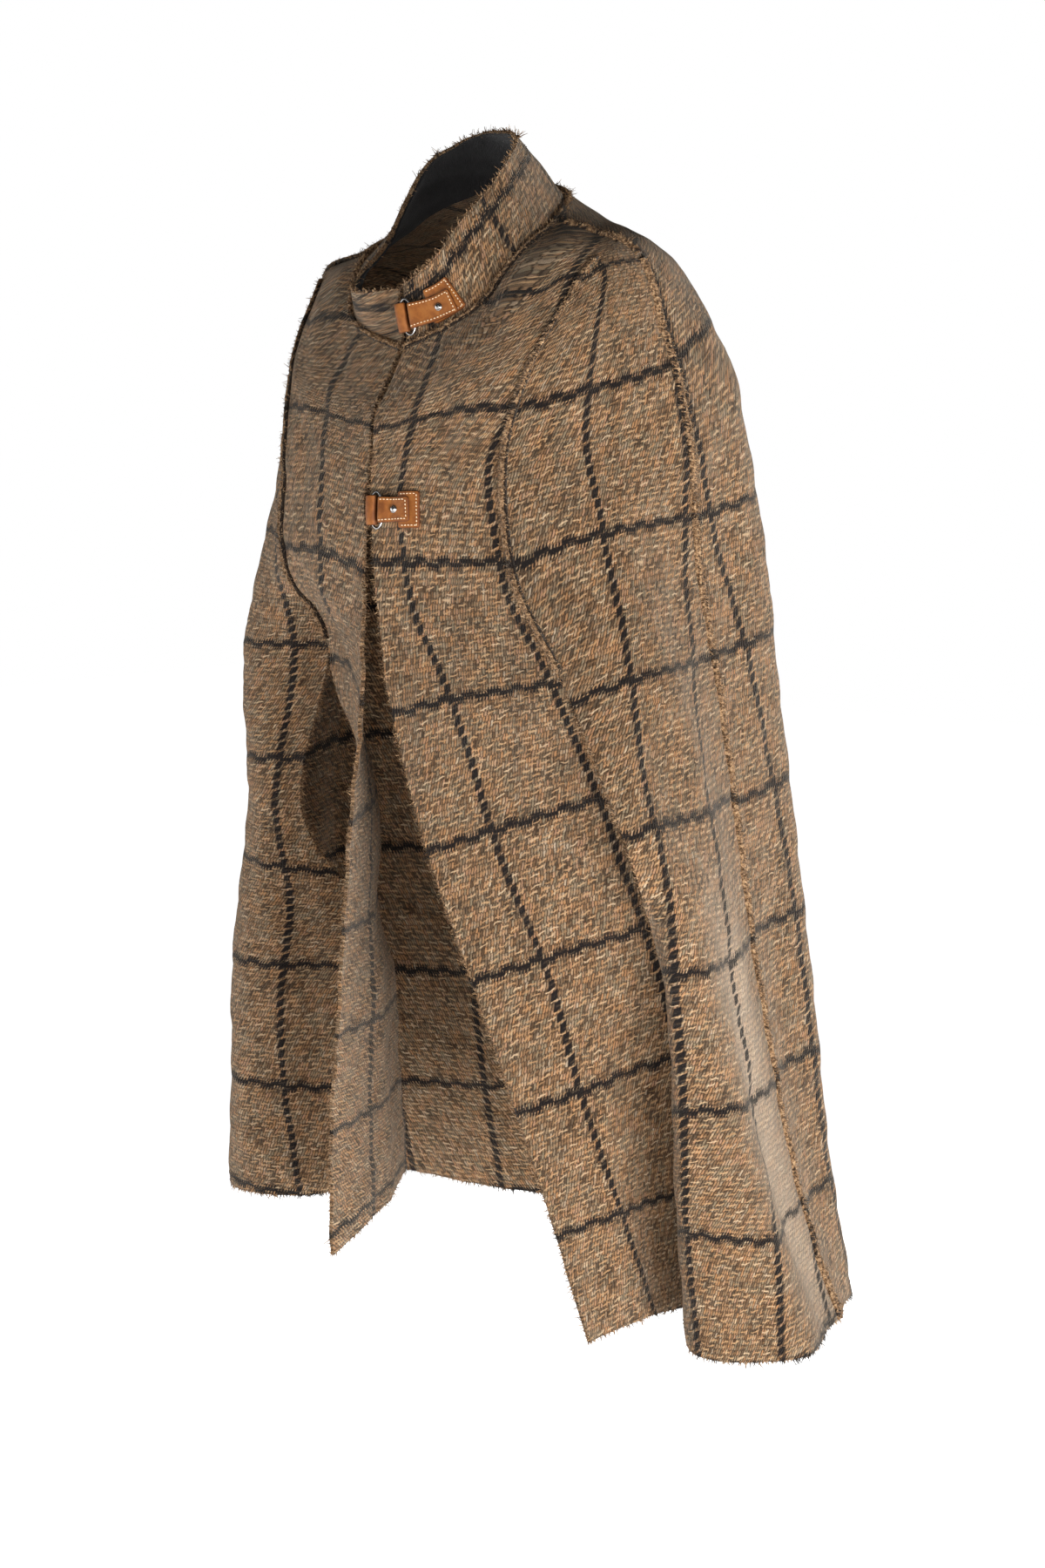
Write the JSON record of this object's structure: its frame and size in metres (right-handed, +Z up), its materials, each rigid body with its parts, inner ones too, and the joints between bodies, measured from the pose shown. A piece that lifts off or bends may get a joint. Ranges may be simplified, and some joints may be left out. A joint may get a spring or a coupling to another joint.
{
  "type": "cape",
  "caption": "Worn thigh-length cape of checked wool with a stand collar, arm slits in the princess seams, raw seam ridges and leather strap fastenings, open below the chest.",
  "frame": {"origin": "middle of the neck where the collar is sewn on, inside the cape, where the wearer's neck and shoulders hold it up", "axes": "+Z up; the front faces -Y; the garment's own left is +X"},
  "size_m": [0.6215, 0.3688, 0.9067],
  "materials": {
    "tweed": "coarse napped wool, camel with grey-brown flecks and a black windowpane check",
    "facing": "matt black woven",
    "leather": "smooth tan, cream stitching",
    "metal": "polished gunmetal"
  },
  "bodies": {
    "root": {"front_left": "tweed", "front_right": "tweed", "side_left": "tweed", "side_right": "tweed", "back": "tweed", "collar": "tweed", "seam_shoulder_left": "tweed", "seam_shoulder_right": "tweed", "seam_side_left": "tweed", "seam_side_right": "tweed", "seam_princess_left": "tweed", "seam_princess_right": "tweed", "seam_collar": "tweed", "collar_facing": "facing", "collar_tab_patch": "leather", "collar_tab_strap": "leather", "collar_tab_loop": "leather", "chest_tab_patch": "leather", "chest_tab_strap": "leather", "chest_tab_loop": "leather", "collar_tab_ring": "metal", "collar_tab_stud": "metal", "chest_tab_ring": "metal", "chest_tab_stud": "metal"}
  },
  "joints": []
}
